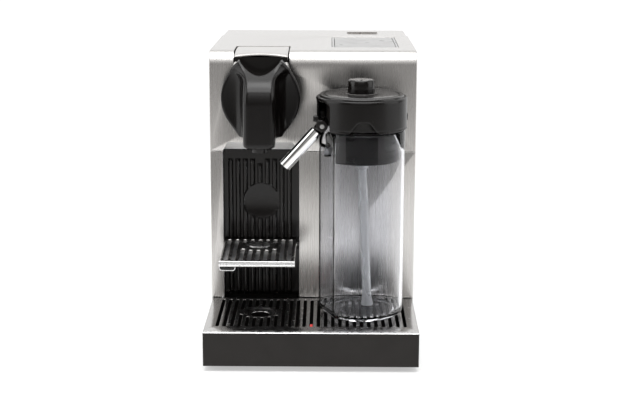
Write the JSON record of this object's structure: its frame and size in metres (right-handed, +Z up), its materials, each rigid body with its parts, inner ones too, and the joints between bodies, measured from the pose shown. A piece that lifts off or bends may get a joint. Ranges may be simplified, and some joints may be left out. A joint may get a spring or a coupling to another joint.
{
  "type": "pod coffee machine",
  "caption": "Compact pod coffee machine in brushed steel with a lever brew head, folding cup support, sliding drip tray, lift-out water tank and a clear milk carafe with a swivelling spout.",
  "frame": {"origin": "middle of the footprint on the table", "axes": "+X to the right seen from the front, the front faces -Y, +Z up"},
  "size_m": [0.194, 0.332, 0.274],
  "materials": {
    "brushed_steel": "brushed",
    "steel_side": "brushed",
    "polished_steel": "polished",
    "chrome": "mirror",
    "black_gloss": "gloss",
    "black_matte": "satin",
    "dark_grey": "matte",
    "panel_grey": "satin",
    "clear_plastic": "clear",
    "smoke_plastic": "smoked clear",
    "red_plastic": "gloss",
    "rubber": "matte",
    "steel": "machined",
    "cast_aluminium": "cast",
    "brass": "plain",
    "board_green": "lacquered",
    "grey_plastic": "moulded",
    "knob_grey": "satin top"
  },
  "bodies": {
    "machine": {"top_front_cover": "brushed_steel", "capsule_scoop": "brushed_steel", "left_side_panel": "steel_side", "right_side_panel": "steel_side", "lower_front_panel_left": "brushed_steel", "lower_front_panel_right": "brushed_steel", "bay_header": "black_matte", "base_plate": "black_matte", "rubber_feet": "rubber", "front_sill": "black_matte", "rear_bulkhead": "black_matte", "chassis_frame": "grey_plastic", "brew_housing": "black_matte", "lever_pivot_pin": "steel", "brew_head": "black_matte", "coffee_outlet": "black_gloss", "touch_panel": "panel_grey", "control_board": "board_green", "pump": "grey_plastic", "pump_mounts": "rubber", "thermoblock": "cast_aluminium", "steam_valve": "brass", "steam_nozzle": "chrome", "nozzle_collar": "black_matte", "flow_meter": "grey_plastic", "water_hoses": "clear_plastic", "main_board": "board_green", "tank_plinth": "black_matte", "tank_seat_seal": "rubber", "cord_gland": "rubber", "case_screws": "steel"},
    "lever": {"lever_arm": "black_gloss", "lever_face": "black_gloss", "lever_cover": "polished_steel"},
    "cage": {"capsule_cage": "black_matte"},
    "tray": {"drip_tray": "dark_grey", "drip_grid": "polished_steel", "bay_panel": "black_matte", "capsule_bin": "black_matte"},
    "cup_support": {"cup_support": "black_gloss", "cup_support_trim": "chrome", "cup_support_pins": "steel"},
    "float": {"tray_float": "red_plastic"},
    "carafe": {"milk_container": "clear_plastic", "lid_body": "black_gloss", "lid_top": "black_gloss", "lid_plug": "smoke_plastic", "lid_seal": "rubber", "suction_tube": "clear_plastic", "froth_nozzle": "black_gloss", "spout_pin": "steel"},
    "spout": {"spout_hub": "black_gloss", "spout_tube": "chrome"},
    "knob": {"froth_knob": "knob_grey"},
    "release_right": {"release_button_right": "black_matte"},
    "release_left": {"release_button_left": "black_matte"},
    "tank": {"water_tank": "smoke_plastic", "tank_valve": "black_matte", "tank_lid_pin": "steel"},
    "tank_lid": {"tank_lid": "brushed_steel"}
  },
  "joints": [
    {"name": "lever_lift", "type": "hinge", "parent": "machine", "child": "lever", "pos_m": [-0.048, -0.022, 0.261], "axis": [-1, 0, 0], "range_deg": [0, 80]},
    {"name": "cage_slide", "type": "slide", "parent": "machine", "child": "cage", "axis": [0, 1, 0], "range_m": [0, 0.026]},
    {"name": "tray_slide", "type": "slide", "parent": "machine", "child": "tray", "axis": [0, -1, 0], "range_m": [0, 0.12]},
    {"name": "cup_support_fold", "type": "hinge", "parent": "tray", "child": "cup_support", "pos_m": [-0.05, -0.0525, 0.088], "axis": [-1, 0, 0], "range_deg": [0, 88]},
    {"name": "float_rise", "type": "slide", "parent": "tray", "child": "float", "axis": [0, 0, 1], "range_m": [0, 0.005]},
    {"name": "carafe_pull", "type": "slide", "parent": "machine", "child": "carafe", "axis": [0, -1, 0], "range_m": [0, 0.12]},
    {"name": "spout_swing", "type": "hinge", "parent": "carafe", "child": "spout", "pos_m": [0.009, -0.106, 0.213], "axis": [0, 1, 0], "range_deg": [-8, 8]},
    {"name": "froth_knob_turn", "type": "hinge", "parent": "carafe", "child": "knob", "pos_m": [0.044, -0.1, 0.248], "axis": [0, 0, 1], "range_deg": [-90, 90]},
    {"name": "release_right_press", "type": "slide", "parent": "carafe", "child": "release_right", "axis": [-1, 0, 0], "range_m": [0, 0.0025], "stiffness_N_per_m": 400},
    {"name": "release_left_press", "type": "slide", "parent": "carafe", "child": "release_left", "axis": [1, 0, 0], "range_m": [0, 0.0025], "stiffness_N_per_m": 400},
    {"name": "tank_lift", "type": "slide", "parent": "machine", "child": "tank", "axis": [0, 0, 1], "range_m": [0, 0.15]},
    {"name": "tank_lid_open", "type": "hinge", "parent": "tank", "child": "tank_lid", "pos_m": [0, 0.163, 0.2685], "axis": [-1, 0, 0], "range_deg": [0, 95]}
  ],
  "couplings": [
    {"joint": "cage_slide", "follows": "lever_lift", "m_per_rad": 0.018621}
  ]
}
